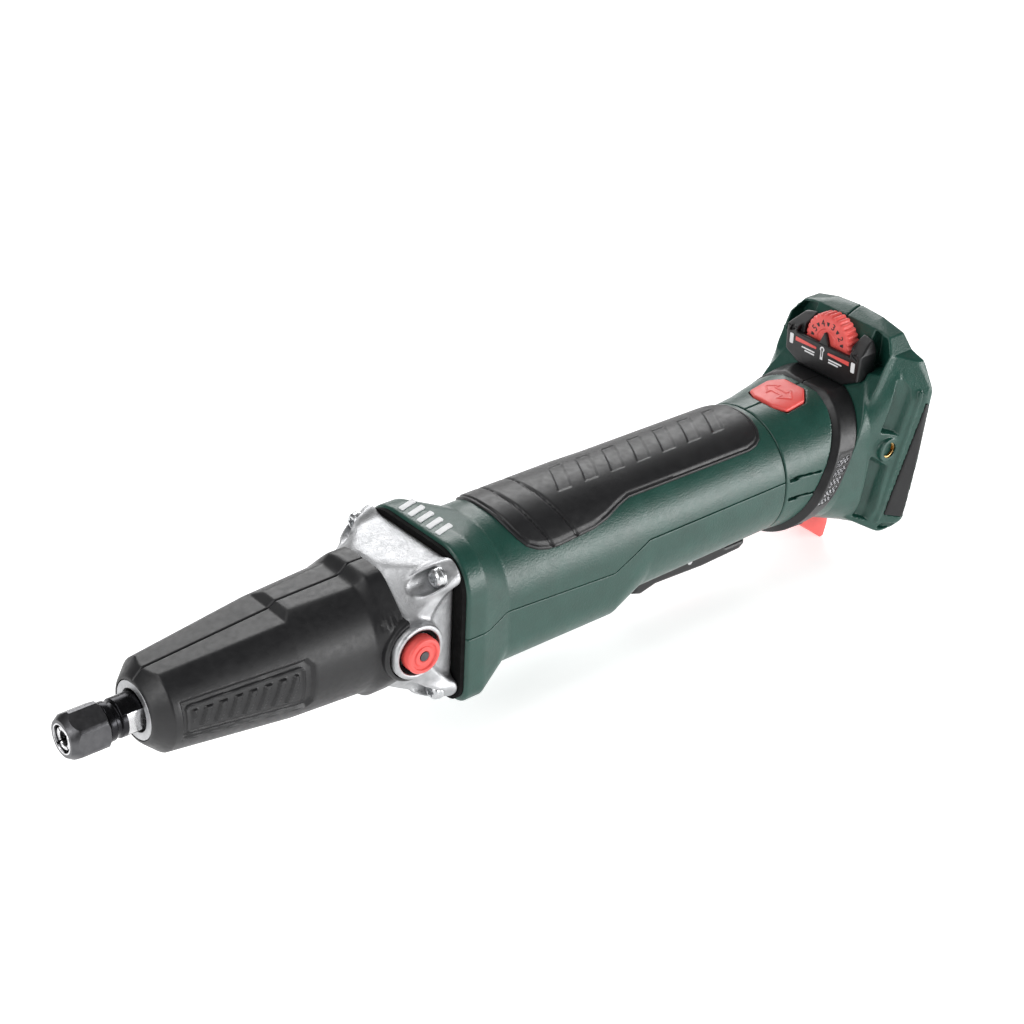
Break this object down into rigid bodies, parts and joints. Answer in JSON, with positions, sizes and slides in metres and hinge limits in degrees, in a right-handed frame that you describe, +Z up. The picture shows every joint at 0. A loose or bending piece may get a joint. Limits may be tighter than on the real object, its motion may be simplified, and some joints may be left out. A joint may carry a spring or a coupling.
{
  "type": "die grinder",
  "caption": "Slim battery die grinder: collet nose with rubber guard, cast flange with spindle lock, tubular body with paddle switch, swivelling battery foot with speed dial.",
  "frame": {"origin": "collet mouth, on the spindle axis", "axes": "+X along the spindle towards the battery foot, +Z up, -Y the user's left side, where the spindle lock button is"},
  "size_m": [0.4258, 0.0898, 0.1149],
  "materials": {
    "black_rubber": "fine matte texture",
    "green_plastic": "glass-filled nylon with a light grain",
    "black_plastic": "satin",
    "red_plastic": "satin",
    "white_print": "printed",
    "cast_aluminium": "sand-cast skin",
    "dark_steel": "blackened",
    "bright_steel": "ground",
    "zinc_screw": "zinc plated",
    "spring_steel": "drawn wire",
    "copper": "enamelled copper",
    "brass": "turned",
    "lamination": "stacked sheet",
    "felt": "pressed felt",
    "board": "circuit board",
    "mesh": "woven wire"
  },
  "bodies": {
    "housing": {"nose_housing": "cast_aluminium", "nose_sleeve": "black_rubber", "nose_screws": "zinc_screw", "retaining_ring": "bright_steel", "felt_seal": "felt", "front_bearing": "bright_steel", "rear_bearing": "bright_steel", "gasket_plate": "black_plastic", "main_housing_upper": "green_plastic", "main_housing_lower": "green_plastic", "grip_pad": "black_rubber", "collar_badge": "white_print", "stator_core": "lamination", "stator_coils": "copper", "motor_front_plate": "black_plastic", "motor_front_bearing": "bright_steel", "motor_rear_plate": "black_plastic", "motor_rear_bearing": "bright_steel", "sensor_board": "board", "switch_module": "black_plastic", "control_module": "black_plastic", "paddle_pin": "bright_steel", "paddle_spring": "spring_steel", "spindle_lock_spring": "spring_steel", "swivel_ring": "black_plastic"},
    "spindle": {"spindle": "bright_steel", "lock_ring": "bright_steel", "shaft_coupling": "bright_steel", "motor_shaft": "bright_steel", "fan": "black_plastic", "rotor_core": "lamination", "rotor_magnets": "bright_steel"},
    "collet": {"collet": "dark_steel"},
    "collet_nut": {"collet_nut": "dark_steel"},
    "lock_button": {"spindle_lock_button": "red_plastic", "spindle_lock_pin": "bright_steel"},
    "paddle": {"paddle": "black_plastic", "lock_lever_pin": "bright_steel"},
    "lock_lever": {"paddle_lock_lever": "red_plastic"},
    "foot": {"foot_shell_left": "green_plastic", "foot_shell_right": "green_plastic", "foot_screws": "zinc_screw", "bumper_left": "black_rubber", "bumper_right": "black_rubber", "threaded_insert_left": "brass", "threaded_insert_right": "brass", "dial_bezel": "black_plastic", "dial_marks": "red_plastic", "dial_end_marks": "white_print", "speed_potentiometer": "black_plastic", "swivel_button_spring": "spring_steel", "filter_frame": "black_plastic", "filter_mesh": "mesh", "terminal_block": "black_plastic", "battery_contacts": "brass"},
    "speed_dial": {"speed_dial": "red_plastic"},
    "swivel_button": {"swivel_button": "red_plastic"},
    "filter_latch": {"filter_latch": "red_plastic"}
  },
  "joints": [
    {"name": "spindle_spin", "type": "hinge", "parent": "housing", "child": "spindle", "pos_m": [0, 0, 0], "axis": [1, 0, 0], "continuous": true},
    {"name": "collet_travel", "type": "slide", "parent": "spindle", "child": "collet", "axis": [-1, 0, 0], "range_m": [0, 0.005]},
    {"name": "nut_turn", "type": "hinge", "parent": "collet", "child": "collet_nut", "pos_m": [0, 0, 0], "axis": [-1, 0, 0], "range_deg": [0, 1800]},
    {"name": "spindle_lock_press", "type": "slide", "parent": "housing", "child": "lock_button", "axis": [0, 1, 0], "range_m": [0, 0.0035], "stiffness_N_per_m": 900, "springref_m": -0.002, "deforming": ["spindle_lock_spring"]},
    {"name": "paddle_press", "type": "hinge", "parent": "housing", "child": "paddle", "pos_m": [0.286, 0, -0.025], "axis": [0, -1, 0], "range_deg": [0, 3.5], "stiffness_Nm_per_rad": 4, "springref_deg": -2.86, "deforming": ["paddle_spring"]},
    {"name": "lock_lever_swing", "type": "hinge", "parent": "paddle", "child": "lock_lever", "pos_m": [0.312, 0, -0.0315], "axis": [0, 1, 0], "range_deg": [0, 35], "stiffness_Nm_per_rad": 0.3, "springref_deg": -17.19},
    {"name": "foot_swivel", "type": "hinge", "parent": "housing", "child": "foot", "pos_m": [0.349, 0, 0], "axis": [1, 0, 0], "range_deg": [-90, 180]},
    {"name": "swivel_release", "type": "slide", "parent": "foot", "child": "swivel_button", "axis": [0, 0, -1], "range_m": [0, 0.0025], "stiffness_N_per_m": 900, "springref_m": -0.002, "deforming": ["swivel_button_spring"]},
    {"name": "dial_turn", "type": "hinge", "parent": "foot", "child": "speed_dial", "pos_m": [0.40375, 0, 0.0488], "axis": [1, 0, 0], "range_deg": [-60, 180]},
    {"name": "filter_latch_press", "type": "slide", "parent": "foot", "child": "filter_latch", "axis": [0, 0, 1], "range_m": [0, 0.0025], "stiffness_N_per_m": 5000, "springref_m": -0.004}
  ],
  "couplings": [
    {"joint": "collet_travel", "follows": "nut_turn", "m_per_rad": 0.00015915}
  ]
}
